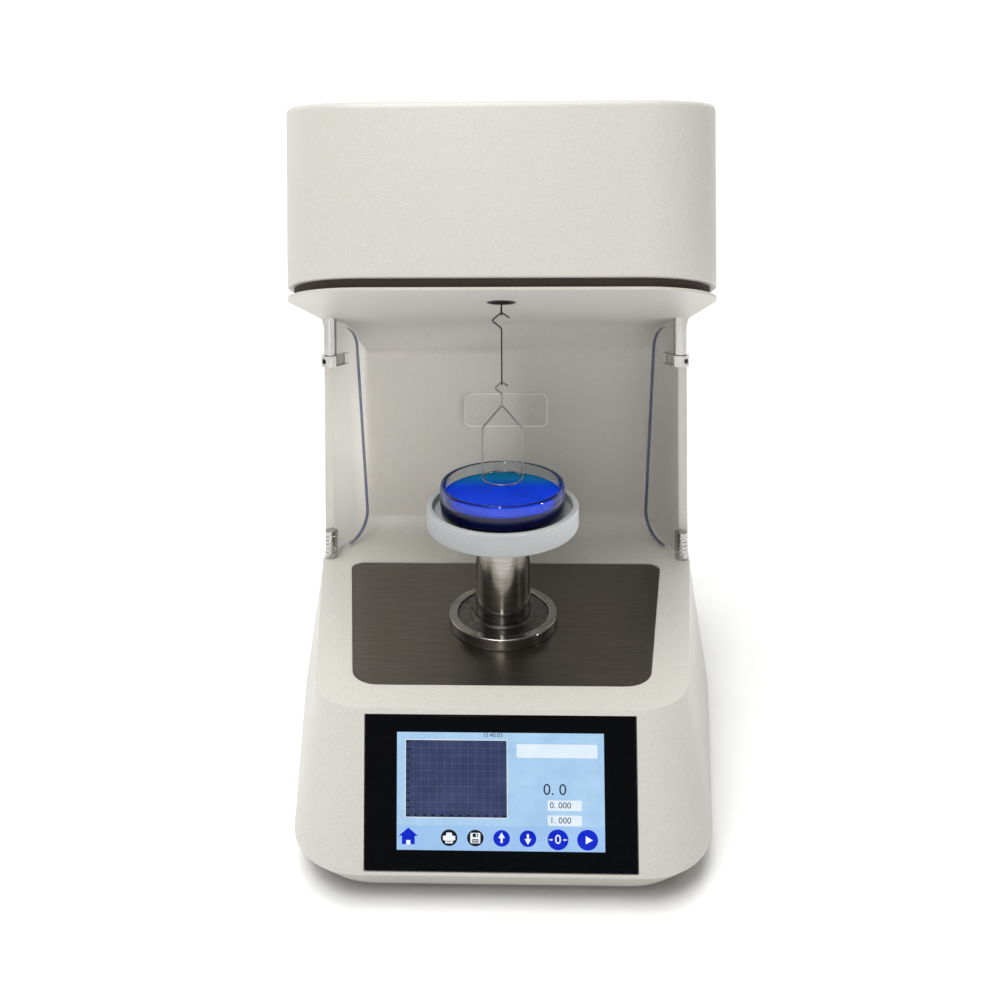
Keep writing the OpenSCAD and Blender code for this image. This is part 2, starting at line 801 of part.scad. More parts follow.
module sensor_bracket() {
    from = stage_y + cell_reach - bracket_len;
    to = stage_y + cell_reach;
    rise = wall * ceiling_rise;
    color("#9fa1a4") difference() {
        along_x(2 * cell_half + 12)
            polygon([[from, ceiling_at(from) + rise], [to, ceiling_at(to) + rise], [to, cell_z], [from, cell_z]]);
        translate([-body_w / 2, (from + to) / 2, cell_z - 14]) rotate([0, 90, 0]) cylinder(h = body_w, d = 12);
    }
}
module load_cell() {
    color("#c2c4c6") difference() {
        translate([-cell_half, stage_y - 8, cell_z]) cube([2 * cell_half, cell_reach + 8, cell_h]);
        for (y = [stage_y + 16, stage_y + 32])
            translate([-cell_half - 1, y, cell_z + cell_h / 2]) rotate([0, 90, 0])
                cylinder(h = 2 * cell_half + 2, d = cell_hole_dia);
        translate([-cell_half - 1, stage_y + 16, cell_z + cell_h / 2 - 2]) cube([2 * cell_half + 2, 16, 4]);
        translate([0, stage_y, cell_z - 1]) cylinder(h = cell_h - 4, d = hook_rod_dia);
    }
}
board_t = 1.6;
amp_w = 36;
amp_lift = 4;
amp_post_dia = 4;
amp_post_x = 5;
amp_post_pitch = 16;
module amplifier_board() {
    y = stage_y + cell_reach - 1.5 * amp_post_pitch;
    color("#2e6b45") {
        translate([-amp_w / 2, y - (amp_w - amp_post_pitch) * 0.7, cell_z + cell_h + amp_lift])
            cube([amp_w, amp_w, board_t]);
        for (x = [-amp_post_x, amp_post_x]) {
            for (dy = [0, amp_post_pitch])
                translate([x, y + dy, cell_z + cell_h]) cylinder(h = amp_lift, d = amp_post_dia);
        }
    }
}

// Wire along (x, z) points, with a bend at each inner point
function bent(p) = [p[0], for (i = [1:1:len(p) - 2]) each corner(p[i - 1], p[i], p[i + 1], bend_r), p[len(p) - 1]];
function side_of(v) = [-v[1], v[0]];
function mitre(p, i) =
    let(n = len(p), before = unit(p[max(i, 1)] - p[max(i, 1) - 1]), after = unit(p[min(i, n - 2) + 1] - p[min(i, n - 2)]))
    side_of(before + after) / (1 + before * after);
module wire(points) {
    p = bent(points);
    n = len(p);
    rotate([90, 0, 0]) linear_extrude(wire_dia, center = true)
        polygon([for (i = [0:n - 1]) p[i] + mitre(p, i) * wire_dia / 2,
            for (i = [n - 1:-1:0]) p[i] - mitre(p, i) * wire_dia / 2]);
}
// Points of an open hook with its crown at (0, top), down to its stem
function hook_points(top) = [[0.48 * hook_size, top - 0.33 * hook_size], [0, top],
    [-0.58 * hook_size, top - 0.5 * hook_size], [0, top - hook_neck]];
module eye() {
    rotate([0, 90, 0]) rotate_extrude() translate([eye_r, 0]) circle(d = eye_wire);
}
module hook_rod() {
    color("#1c1c1e") translate([0, stage_y, rod_foot_z]) {
        eye();
        translate([0, 0, eye_r]) cylinder(h = cell_z + 8 - rod_foot_z - eye_r, d = hook_rod_dia);
    }
}
module hook_grommet() {
    color("#26272a") at_ceiling(stage_y) difference() {
        union() {
            translate([0, 0, -0.4]) cylinder(h = wall + 1.9, d = hook_hole_dia - 2 * run_fit);
            translate([0, 0, wall]) cylinder(h = 1.5, d = hook_hole_dia + 5);
        }
        translate([0, 0, -2]) cylinder(h = 3 * wall, d = hook_hole_dia - 3);
    }
}
module ring_hanger() {
    color("#28282a") translate([0, stage_y, 0]) {
        wire([each hook_points(rod_foot_z - hook_hang), [0, hanger_foot_z + eye_r]]);
        translate([0, 0, hanger_foot_z]) eye();
    }
}
module platinum_ring() {
    r = ring_dia / 2;
    color("#b9bbbd") translate([0, stage_y, 0]) {
        wire([each hook_points(hanger_foot_z - hook_hang), [0, ring_apex_z - 0.6 * bend_r]]);
        wire([[-r, ring_z], [-r, ring_z + stirrup_h], [0, ring_apex_z], [r, ring_z + stirrup_h], [r, ring_z]]);
        translate([0, 0, ring_z]) rotate_extrude() translate([r, 0]) circle(d = eye_wire);
    }
}

// Doors: drawn for the right side, along +x of a frame that turns with the pin
module at_hinge(side) {
    mirror([side < 0 ? 1 : 0, 0, 0]) translate([hinge_x, hinge_y, 0]) rotate([0, 0, 90 + door_lean]) children();
}
door_start = pin_dia / 2 - 1;
door_foot_z = deck_z + 2;
door_top_gap = 2;
door_far_drop = 5;
clamp_reach = 5;
clamp_h = 6;
clamp_half = pin_dia / 2 + 1.4;
clamp_z = ceiling_at(hinge_y) - pin_top_len - clamp_h;
module door(side) {
    near_top = ceiling_at(hinge_y) - door_top_gap;
    far_top = ceiling_at(hinge_y + door_top_w * cos(door_lean)) - door_far_drop;
    color("#dfe8ec", 0.35) at_hinge(side) translate([0, door_t / 2, 0]) rotate([90, 0, 0]) linear_extrude(door_t)
        polygon(rounded([[door_start, door_foot_z], [door_w, door_foot_z], [door_top_w, far_top], [door_start, near_top]],
            [0, door_corner, door_corner, 0]));
}
// Slot in which a pin holds the edge of its door
module door_slot(low, high) {
    translate([door_start, -door_t / 2, low]) cube([pin_dia, door_t, high - low]);
}
module upper_pin(side) {
    color("#8f9194") at_hinge(side) difference() {
        translate([0, 0, clamp_z]) cylinder(h = ceiling_at(hinge_y) + pin_seat - 1 - clamp_z, d = pin_dia);
        door_slot(clamp_z - 1, ceiling_at(hinge_y) - door_top_gap);
    }
}
module clamp(side) {
    color("#7d7f82") at_hinge(side) difference() {
        translate([0, 0, clamp_z]) {
            cylinder(h = clamp_h, r = clamp_half);
            cube([clamp_half + clamp_reach, clamp_half, clamp_h]);
        }
        translate([0, 0, clamp_z - 1]) cylinder(h = clamp_h + 2, d = pin_dia);
        translate([0, 0, -1]) door_slot(clamp_z, clamp_z + clamp_h + 2);
        translate([0, -door_t / 2, clamp_z - 1]) cube([2 * clamp_half + clamp_reach, door_t, clamp_h + 2]);
        at_clamp_screw() cylinder(h = clamp_half, r = screw_r);
    }
}
module at_clamp_screw() {
    translate([-clamp_half, 0, clamp_z + clamp_h / 2]) rotate([0, 90, 0]) children();
}
module clamp_screw(side) {
    sink = 0.3;
    color("#1a1a1c") at_hinge(side) at_clamp_screw() difference() {
        translate([0, 0, sink]) cylinder(h = clamp_half - pin_dia / 2 - sink, r = screw_r);
        cylinder(h = 1, r = screw_r - 0.6, $fn = 6);
    }
}
module lower_pin(side) {
    color("#a9abae") at_hinge(side) difference() {
        translate([0, 0, deck_z - pin_seat + 1]) cylinder(h = pin_foot_len + pin_seat - 1, d = pin_dia);
        door_slot(door_foot_z, deck_z + pin_foot_len + 1);
        for (i = [0:4])
            translate([0, 0, deck_z + 3.5 + 2.2 * i]) difference() {
                cylinder(h = 1, d = pin_dia + 1);
                translate([0, 0, -1]) cylinder(h = 3, d = pin_dia - 0.6);
            }
    }
}
module left_door() { door(-1); }
module right_door() { door(1); }
module left_upper_pin() { upper_pin(-1); }
module right_upper_pin() { upper_pin(1); }
module left_clamp() { clamp(-1); }
module right_clamp() { clamp(1); }
module left_lower_pin() { lower_pin(-1); }
module right_lower_pin() { lower_pin(1); }
module clamp_screws_left() { clamp_screw(-1); }
module clamp_screws_right() { clamp_screw(1); }

label_w = 50;
label_h = 20;
label_z = 150;
module label_plate() {
    color("#d8dad8", 0.5) translate([0, chamber_y, label_z]) rotate([90, 0, 0]) linear_extrude(1)
        polygon(rounded([[-label_w / 2, -label_h / 2], [label_w / 2, -label_h / 2], [label_w / 2, label_h / 2],
            [-label_w / 2, label_h / 2]], [4, 4, 4, 4]));
}

// Electronics on the floor of the base pan
board_w = 48;
board_d = 110;
board_x = 26;
board_y = stage_y - 20;
standoff_h = 6;
standoff_dia = 5;
standoff_in = 4;
chip_w = 18;
chip_h = 3;
relay_w = 12;
relay_h = 8;
capacitor_dia = 10;
capacitor_h = 14;
supply_h = 28;
slot_w = 6;
slot_h = 14;
slot_pitch = 13;
module board_standoffs() {
    color("#c9a94f") for (x = [standoff_in, board_w - standoff_in]) {
        for (y = [standoff_in, board_d - standoff_in])
            translate([board_x + x, board_y + y, floor_z]) cylinder(h = standoff_h, d = standoff_dia);
    }
}
module control_board() {
    color("#2c5f8a") translate([board_x, board_y, floor_z + standoff_h]) {
        cube([board_w, board_d, board_t]);
        translate([board_w / 5, board_d / 8, board_t]) cube([chip_w, chip_w, chip_h]);
        translate([board_w * 0.62, board_d * 0.55, board_t]) cube([relay_w, 2.2 * relay_w, relay_h]);
        translate([board_w / 6, board_d * 0.76, board_t]) cylinder(h = capacitor_h, d = capacitor_dia);
    }
}
module power_supply() {
    color("#8f9296") difference() {
        translate([-board_x - board_w, board_y, floor_z]) cube([board_w, board_d, supply_h]);
        for (i = [0:6])
            translate([-board_x - board_w - 1, board_y + (i + 1) * slot_pitch, floor_z + (supply_h - slot_h) / 2])
                cube([slot_w, slot_w, slot_h]);
    }
}
module panel_body(at, size, depth) {
    flange = 2;
    translate([at[0] - size[0] / 2 + set_gap, rear_y - depth, at[1] - size[1] / 2 + set_gap])
        cube([size[0] - 2 * set_gap, depth, size[1] - 2 * set_gap]);
    translate([at[0] - size[0] / 2 - flange, rear_y, at[1] - size[1] / 2 - flange])
        cube([size[0] + 2 * flange, 1.5, size[1] + 2 * flange]);
}
module power_inlet() {
    color("#1d1d1f") difference() {
        panel_body(inlet_at, inlet_size, panel_depth);
        translate([inlet_at[0] - 10, rear_y - 12, inlet_at[1] - 6.5]) cube([20, 20, 13]);
    }
    color("#b0b2b4") for (x = [-6, 0, 6])
        translate([inlet_at[0] + x - 1, rear_y - 13, inlet_at[1] - 2 + (x == 0 ? 3 : 0)]) cube([2, 10, 3]);
}
rocker_w = 10;
rocker_h = 15;
rocker_out = 3.4;
module switch_frame() {
    color("#1d1d1f") difference() {
        panel_body(switch_at, switch_size, panel_depth);
        translate([switch_at[0] - rocker_w / 2 - air_gap, rear_y - 9, switch_at[1] - rocker_h / 2 - air_gap])
            cube([rocker_w + 2 * air_gap, 20, rocker_h + 2 * air_gap]);
    }
}
module switch_rocker() {
    r = rocker_h / 2;
    color("#27272a") translate([switch_at[0], rear_y - 1, switch_at[1]]) rotate([0, 90, 0])
        linear_extrude(rocker_w, center = true)
            polygon([[-r + 0.5, -2], [r - 0.5, -2], [r - 0.5, rocker_out], [0, 0.65 * rocker_out], [-r + 0.5, rocker_out]]);
}
port_mouth_w = 18;
port_mouth_h = 8;
port_mouth_d = 5;
module data_port() {
    color("#a8aaad") difference() {
        panel_body(port_at, port_size, panel_depth / 2);
        translate([port_at[0] - port_mouth_w / 2, rear_y - port_mouth_d, port_at[1] - port_mouth_h / 2])
            cube([port_mouth_w, 2 * port_mouth_d, port_mouth_h]);
    }
}

main_housing();
head_cover();
rear_cover();
base_pan();
rubber_feet();
pan_screws();
rear_screws();
deck_plate();
stage_collar();
guide_bush();
lift_post();
sample_table();
glass_dish();
sample_liquid();
touch_glass();
display_module();
display_bracket();
lift_frame();
guide_rods();
screw_bearing();
stepper_motor();
motor_shaft();
shaft_coupling();
lead_screw();
carriage();
lift_nut();
rod_bushings();
limit_switches();
sensor_bracket();
load_cell();
amplifier_board();
hook_rod();
hook_grommet();
ring_hanger();
platinum_ring();
left_door();
left_upper_pin();
left_clamp();
left_lower_pin();
right_door();
right_upper_pin();
right_clamp();
right_lower_pin();
clamp_screws_left();
clamp_screws_right();
label_plate();
control_board();
board_standoffs();
power_supply();
power_inlet();
switch_frame();
switch_rocker();
data_port();
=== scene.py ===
import json
import math

import bmesh
import bpy
from mathutils import Matrix, Vector


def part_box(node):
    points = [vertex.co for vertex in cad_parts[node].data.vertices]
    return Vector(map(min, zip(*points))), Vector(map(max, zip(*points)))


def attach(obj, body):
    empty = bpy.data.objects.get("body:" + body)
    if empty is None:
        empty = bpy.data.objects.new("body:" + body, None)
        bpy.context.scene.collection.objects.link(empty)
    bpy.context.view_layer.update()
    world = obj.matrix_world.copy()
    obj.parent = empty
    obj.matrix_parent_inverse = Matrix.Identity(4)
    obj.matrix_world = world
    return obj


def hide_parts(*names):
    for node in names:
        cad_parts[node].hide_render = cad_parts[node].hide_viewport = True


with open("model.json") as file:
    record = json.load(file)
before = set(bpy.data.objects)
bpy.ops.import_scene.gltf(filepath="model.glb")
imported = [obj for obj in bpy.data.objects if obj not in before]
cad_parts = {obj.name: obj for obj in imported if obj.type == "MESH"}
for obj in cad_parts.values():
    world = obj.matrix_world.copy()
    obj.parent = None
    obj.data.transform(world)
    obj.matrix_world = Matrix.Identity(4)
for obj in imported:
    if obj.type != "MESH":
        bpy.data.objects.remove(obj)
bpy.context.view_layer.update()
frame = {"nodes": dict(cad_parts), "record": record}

mm = 0.001
nodeSlot = {part["node"]: part["material_slot"] for part in frame["record"]["subparts"]}
nodeBody = {node: body for body, nodes in frame["record"]["behaviour"]["bodies"].items() for node in nodes}
noiseRange = {"From Min": 0.3, "From Max": 0.7}   # most of a noise texture's values lie between these


def hexColour(code):
    parts = [int(code[i:i + 2], 16) / 255 for i in (1, 3, 5)]
    return tuple(c / 12.92 if c <= 0.04045 else ((c + 0.055) / 1.055) ** 2.4 for c in parts) + (1.0,)


def addNode(tree, kind, settings=None, links=None):
    node = tree.nodes.new(kind)
    for name, value in (settings or {}).items():
        if isinstance(name, int) or name in node.inputs.keys():
            node.inputs[name].default_value = value
        else:
            setattr(node, name, value)
    for name, source in (links or {}).items():
        tree.links.new(source, node.inputs[name])
    return node


def makeFinish(name, finish):
    material = bpy.data.materials.new(name)
    material.use_nodes = True
    tree = material.node_tree
    tree.nodes.clear()
    coord = addNode(tree, "ShaderNodeTexCoord").outputs["Object"]
    place = addNode(tree, "ShaderNodeMapping", {"Scale": finish.get("stretch", (1, 1, 1))},
                    {"Vector": coord})
    grain = addNode(tree, "ShaderNodeTexNoise",
                    {"Scale": 1 / (finish["grain"] * mm), "Detail": 4.0, "Roughness": 0.6},
                    {"Vector": place.outputs["Vector"]}).outputs["Fac"]
    cloud = addNode(tree, "ShaderNodeTexNoise",
                    {"Scale": 1 / (finish.get("cloud", 30) * mm), "Detail": 2.0},
                    {"Vector": coord}).outputs["Fac"]
    tone = addNode(tree, "ShaderNodeMapRange", noiseRange, {"Value": grain}).outputs["Result"]
    # A Mix node takes its two colours at sockets 6 and 7, and gives its colour at socket 2
    colour = addNode(tree, "ShaderNodeMix",
                     {"data_type": "RGBA", 6: hexColour(finish["dark"]), 7: hexColour(finish["light"])},
                     {"Factor": tone}).outputs[2]
    if "reflection_fade" in finish:   # painted reflection: turns to another colour towards the back of the part
        code, near, far = finish["reflection_fade"]
        depth = addNode(tree, "ShaderNodeSeparateXYZ", None, {"Vector": coord}).outputs["Y"]
        share = addNode(tree, "ShaderNodeMapRange",
                        {"interpolation_type": "SMOOTHSTEP", "From Min": near * mm, "From Max": far * mm},
                        {"Value": depth}).outputs["Result"]
        colour = addNode(tree, "ShaderNodeMix", {"data_type": "RGBA", 7: hexColour(code)},
                         {"Factor": share, 6: colour}).outputs[2]
    roughness = addNode(tree, "ShaderNodeMapRange",
                        {**noiseRange, "To Min": finish["rough"][0], "To Max": finish["rough"][1]},
                        {"Value": cloud})
    bump = addNode(tree, "ShaderNodeBump",
                   {"Strength": finish.get("bump", 0.3), "Distance": finish.get("depth", 0.05) * mm},
                   {"Height": grain})
    links = {"Base Color": colour, "Roughness": roughness.outputs["Result"],
             "Normal": bump.outputs["Normal"]}
    if "lit" in finish:
        lit = addNode(tree, "ShaderNodeMix",
                      {"data_type": "RGBA", 6: hexColour(finish["lit"][1]), 7: hexColour(finish["lit"][0])},
                      {"Factor": tone})
        links["Emission Color"] = lit.outputs[2]
    shader = addNode(tree, "ShaderNodeBsdfPrincipled", finish.get("shader"), links)
    addNode(tree, "ShaderNodeOutputMaterial", None, {"Surface": shader.outputs["BSDF"]})
    return material


def keepPiece(name, bm, body, materials, replaced=(), bevel=0.0, thickness=0.0, sharp=35):
    for face in bm.faces:
        face.smooth = True
    for edge in bm.edges:
        if len(edge.link_faces) == 2 and edge.calc_face_angle(0) > math.radians(sharp):
            edge.smooth = False
    mesh = bpy.data.meshes.new(name)
    bm.to_mesh(mesh)
    bm.free()
    piece = bpy.data.objects.new(name, mesh)
    bpy.context.scene.collection.objects.link(piece)
    for material in materials if isinstance(materials, (list, tuple)) else [materials]:
        mesh.materials.append(material)
    if bevel:
        edgeRound = piece.modifiers.new("edgeRound", "BEVEL")
        edgeRound.width = bevel * mm
        edgeRound.segments = 3
        edgeRound.limit_method = "ANGLE"
        edgeRound.angle_limit = math.radians(sharp)
        edgeRound.harden_normals = True
    if thickness:
        plate = piece.modifiers.new("plate", "SOLIDIFY")
        plate.thickness = thickness * mm
        plate.offset = 1
    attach(piece, body)
    if replaced:
        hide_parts(*replaced)
    return piece


def paintFaces(bm, material, second):   # second is a material and the test that its faces pass
    if not second:
        return [material]
    for face in bm.faces:
        face.normal_update()
        face.material_index = int(second[1](face))
    return [material, second[0]]


def mergedCopy(node):   # the CAD solid with its flat faces whole
    bm = bmesh.new()
    bm.from_mesh(frame["nodes"][node].data)
    bmesh.ops.remove_doubles(bm, verts=bm.verts, dist=2e-6)
    bmesh.ops.dissolve_limit(bm, angle_limit=math.radians(0.6), verts=bm.verts, edges=bm.edges)
    bm.normal_update()
    return bm


def dressNode(node, name, material, bevel, sharp=35, second=None):   # the CAD solid with rounded edges
    bm = mergedCopy(node)
    materials = paintFaces(bm, material, second)
    return keepPiece(name, bm, nodeBody[node], materials, [node], bevel, 0, sharp)


# Profile is the half outline as (radius, height) in mm
def turnPiece(name, node, material, profile, axis, steps=128, bevel=0.0, second=None):
    bm = bmesh.new()
    verts = [bm.verts.new(Vector((axis[0] + r * mm, axis[1], z * mm))) for r, z in profile]
    edges = [bm.edges.new(pair) for pair in zip(verts, verts[1:])]
    if profile[0][0] > 0 or profile[-1][0] > 0:
        edges.append(bm.edges.new((verts[-1], verts[0])))
    bmesh.ops.spin(bm, geom=verts + edges, cent=(axis[0], axis[1], 0), axis=(0, 0, 1), angle=2 * math.pi,
                   steps=steps, use_merge=True)
    bmesh.ops.remove_doubles(bm, verts=bm.verts, dist=1e-6)
    bmesh.ops.recalc_face_normals(bm, faces=bm.faces)
    materials = paintFaces(bm, material, second)
    return keepPiece(name, bm, nodeBody[node], materials, [node], bevel, 0, 30)


def wirePiece(name, node, material, runs, diameter):   # round wire along each run of points, in mm
    curve = bpy.data.curves.new(name, "CURVE")
    curve.dimensions = "3D"
    curve.bevel_depth = diameter * mm / 2
    curve.bevel_resolution = 4
    curve.use_fill_caps = True
    for points, closed in runs:
        spline = curve.splines.new("POLY")
        spline.points.add(len(points) - 1)
        for target, point in zip(spline.points, points):
            target.co = (point[0] * mm, point[1] * mm, point[2] * mm, 1)
        spline.use_cyclic_u = closed
    holder = bpy.data.objects.new(name, curve)
    bm = bmesh.new()
    bm.from_mesh(bpy.data.meshes.new_from_object(holder))
    bpy.data.objects.remove(holder)
    return keepPiece(name, bm, nodeBody[node], material, [node], 0, 0, 60)


# Materials: grain, cloud (slow changes of sheen) and bump depth are real sizes in mm
metal = {"Metallic": 1.0}
mouldedSheen = {"IOR": 1.5, "Coat Weight": 0.08, "Coat Roughness": 0.35}
finishes = {
    # pearl-grey ABS from a spark-eroded mould: soft sheen with a fine pebble grain
    "housing_plastic": {"light": "#cfcdc6", "dark": "#c2bfb7", "grain": 0.7, "cloud": 40,
                        "rough": (0.36, 0.44), "bump": 0.35, "depth": 0.06, "shader": mouldedSheen},
    # the same ABS from another mould, a shade lighter
    "cover_plastic": {"light": "#d1cfc8", "dark": "#c4c1b9", "grain": 0.7, "cloud": 40,
                      "rough": (0.36, 0.44), "bump": 0.35, "depth": 0.06, "shader": mouldedSheen},
    # greyer ABS with no gloss, as an underside has
    "pan_plastic": {"light": "#bfbdb5", "dark": "#b1aea6", "grain": 0.7, "cloud": 30,
                    "rough": (0.42, 0.5), "bump": 0.3, "depth": 0.06},
    # moulded nitrile rubber: black and dull
    "foot_rubber": {"light": "#26262a", "dark": "#17171a", "grain": 0.5, "rough": (0.7, 0.85),
                    "bump": 0.4, "depth": 0.1},
    # blackened steel: dark with a weak metal gleam
    "screw_steel": {"light": "#3c3c40", "dark": "#222226", "grain": 0.4, "rough": (0.35, 0.5),
                    "shader": {"Metallic": 0.8}},
    # brushed stainless: long fine lines across the deck; its colour is darkened as a painted reflection of
    # the shaded chamber
    "deck_steel": {"light": "#77726a", "dark": "#625e56", "grain": 0.35, "stretch": (0.02, 1, 1),
                   "cloud": 60, "rough": (0.28, 0.36), "bump": 0.14, "depth": 0.02, "shader": metal},
    # turned and polished steel: fine rings round the axis
    "turned_steel": {"light": "#b3b0aa", "dark": "#8f8c86", "grain": 0.5, "stretch": (0.05, 0.05, 1),
                     "cloud": 14, "rough": (0.13, 0.2), "bump": 0.18, "depth": 0.02, "shader": metal},
    # ground steel: darker and duller than the collar round it
    "bush_steel": {"light": "#757370", "dark": "#4f4d4a", "grain": 0.5, "cloud": 10,
                   "rough": (0.25, 0.34), "bump": 0.08, "depth": 0.02, "shader": metal},
    # skived PTFE: milky, with a dull frosted surface; its colour is darkened as painted shade from the head
    # above
    "table_polymer": {"light": "#b8bbbc", "dark": "#adb1b3", "grain": 0.9, "cloud": 18,
                      "rough": (0.5, 0.6), "bump": 0.12, "depth": 0.04,
                      "shader": {"IOR": 1.38, "Subsurface Weight": 0.25, "Subsurface Scale": 0.003}},
    # blown borosilicate glass: clear, with its gloss turned down so that the liquid shows through
    "dish_glass": {"light": "#fbfdfd", "dark": "#f4f9fa", "grain": 6, "cloud": 20, "rough": (0.0, 0.015),
                   "bump": 0.02, "depth": 0.02,
                   "shader": {"IOR": 1.47, "Specular IOR Level": 0.12, "Transmission Weight": 1.0}},
    # extruded aluminium with its drawing lines
    "aluminium": {"light": "#bfc1c3", "dark": "#a3a5a8", "grain": 0.4, "stretch": (1, 0.05, 1),
                  "rough": (0.3, 0.42), "shader": metal},
    # ground rod: bright, with lines along it
    "rod_steel": {"light": "#d0d0ce", "dark": "#b4b4b2", "grain": 0.4, "stretch": (0.1, 0.1, 1),
                  "rough": (0.15, 0.22), "shader": metal},
    # sintered bronze: warm and slightly matt
    "bronze": {"light": "#b58f4a", "dark": "#8c6a30", "grain": 0.5, "rough": (0.3, 0.42),
               "shader": metal},
    # black powder coat on the motor
    "motor_black": {"light": "#2c2c30", "dark": "#1c1c20", "grain": 0.4, "rough": (0.4, 0.5)},
    # moulded black polyamide: half-matt with a fine grain
    "black_plastic": {"light": "#2a2a2d", "dark": "#1b1b1e", "grain": 0.5, "rough": (0.4, 0.5),
                      "bump": 0.4, "depth": 0.05},
    # glass-fibre board under green solder mask
    "circuit_board": {"light": "#1f6e4c", "dark": "#0f4a32", "grain": 1.2, "rough": (0.35, 0.5)},
    # zinc-plated sheet: pale and slightly cloudy
    "supply_metal": {"light": "#b4b7ba", "dark": "#989b9e", "grain": 0.5, "rough": (0.35, 0.45),
                     "shader": metal},
    # nickel-plated shell: brighter than the sheet
    "port_metal": {"light": "#b9bbbe", "dark": "#9b9da0", "grain": 0.4, "rough": (0.25, 0.35),
                   "shader": metal},
    # blackened spring wire: a dark thin line
    "dark_wire": {"light": "#3a3836", "dark": "#1d1c1b", "grain": 0.3, "rough": (0.25, 0.4),
                  "shader": {"Metallic": 0.9}},
    # drawn platinum wire: greyer than steel
    "platinum": {"light": "#9c9a96", "dark": "#6f6d6a", "grain": 0.3, "rough": (0.18, 0.28),
                 "shader": metal},
    # cast acrylic: the polished faces hardly show
    "clear_acrylic": {"light": "#f6fafb", "dark": "#eef5f8", "grain": 8, "cloud": 30,
                      "rough": (0.0, 0.02), "bump": 0.02, "depth": 0.02,
                      "shader": {"IOR": 1.3, "Alpha": 0.03}},
    # the cut edge of the acrylic gathers light and shows as a bluish line
    "acrylic_edge": {"light": "#545a80", "dark": "#363b5e", "grain": 3, "stretch": (1, 1, 0.1),
                     "rough": (0.05, 0.15), "bump": 0.1, "depth": 0.02,
                     "shader": {"IOR": 1.49, "Coat Weight": 0.6, "Alpha": 0.9}},
    # polished stainless rod: bright, with faint lines along it
    "pin_steel": {"light": "#cbcac7", "dark": "#a3a29f", "grain": 0.4, "stretch": (1, 1, 0.05),
                  "rough": (0.12, 0.18), "bump": 0.15, "depth": 0.02, "shader": metal},
    # clear polyester film on the wall: the wall's own colour under a gloss
    "clear_label": {"light": "#cbc9c2", "dark": "#c2bfb8", "grain": 1.5, "rough": (0.2, 0.3),
                    "bump": 0.05, "depth": 0.02, "shader": {"IOR": 1.35}},
    # the film's cut edge: a pale outline, a painted highlight
    "label_edge_highlight": {"light": "#fbfbf8", "dark": "#efefea", "grain": 1.5, "rough": (0.1, 0.2)},
    # painted shade in the recessed joint under the head: a dark dull brown band
    "gap_shade_paint": {"light": "#453d36", "dark": "#352e29", "grain": 0.5, "rough": (0.8, 0.9), "bump": 0.5,
                  "depth": 0.15},
    # cover glass printed black behind: a low IOR keeps the pale floor out of it
    "screen_glass": {"light": "#05060a", "dark": "#020306", "grain": 2, "cloud": 30, "rough": (0.05, 0.1),
                     "bump": 0.02, "depth": 0.01, "shader": {"IOR": 1.1}},
    # moulded frame behind the glass: dark blue-grey
    "module_plastic": {"light": "#2d3b55", "dark": "#1d2940", "grain": 0.6, "rough": (0.3, 0.4)},
    # dyed water from above, with painted light: bright where light comes up from the dish, and a painted
    # reflection turns it teal towards the back
    "blue_liquid": {"light": "#0642f0", "dark": "#033ad8", "reflection_fade": ("#0a78a8", -45, -27), "grain": 12,
                    "cloud": 20, "rough": (0.02, 0.05), "bump": 0.03, "depth": 0.05,
                    "shader": {"IOR": 1.33, "Specular IOR Level": 0.03}},
    # dyed water through the side of the dish, painted as shade: almost black
    "shaded_liquid_side": {"light": "#0a1560", "dark": "#060a3c", "grain": 12, "cloud": 20, "rough": (0.1, 0.2),
                    "bump": 0.03, "depth": 0.05, "shader": {"IOR": 1.33, "Specular IOR Level": 0.03}},
}
finish = {slot: makeFinish(slot, recipe) for slot, recipe in finishes.items()}
for node, cadObject in frame["nodes"].items():
    cadObject.data.materials.clear()
    cadObject.data.materials.append(finish[nodeSlot[node]])
print("materials made:", len(finish))


# Housing. The ceiling is given by a point (y, z) and its fall, and gap is the height of the joint above it
shell = {"ceiling": (-90.5, 242.5, 0.3), "gap": (1.4, 5.9), "hingeZone": 5.0, "clampBlock": 5.0,
         "labelRim": 0.5, "doorEdge": 0.35, "clampEdge": 0.3}
bevels = {   # CAD node: name of its dressed piece, width of its rounded edges
    "main_housing": ("moulded_body", 0.7), "head_cover": ("head_shell", 0.7),
    "rear_cover": ("rear_shell", 0.7), "base_pan": ("bottom_pan", 0.6),
    "deck_plate": ("steel_deck", 0.25), "power_inlet": ("mains_inlet", 0.3),
    "switch_frame": ("switch_bezel", 0.3), "switch_rocker": ("switch_lever", 0.4),
    "data_port": ("data_socket", 0.3), "hook_grommet": ("hook_sleeve", 0.2),
    "rubber_feet": ("moulded_feet", 0.5), "left_lower_pin": ("left_foot_pin", 0.3),
    "right_lower_pin": ("right_foot_pin", 0.3), "left_upper_pin": ("left_head_pin", 0.3),
    "right_upper_pin": ("right_head_pin", 0.3)}
pinLow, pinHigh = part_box("right_upper_pin")
hingeX = (pinLow.x + pinHigh.x) / 2


def inGap(face):   # the recessed band between the ceiling flange and the head cover, which takes the painted shade
    middle = face.calc_center_median() / mm
    y, z, fall = shell["ceiling"]
    rise = middle.z - z + fall * (middle.y - y)
    return shell["gap"][0] < rise < shell["gap"][1] and abs(face.normal.z) < 0.2


def fromHinge(face):   # distance in mm from the left or right hinge line
    return abs(abs(face.calc_center_median().x) - hingeX) / mm


def onDoorEdge(face):   # the cut edge, but not where it hides behind the hinge
    return face.calc_area() < 1e-3 and fromHinge(face) > shell["hingeZone"]


def onJaw(face):   # the clear tongue of a clamp that grips the door
    return fromHinge(face) > shell["clampBlock"]


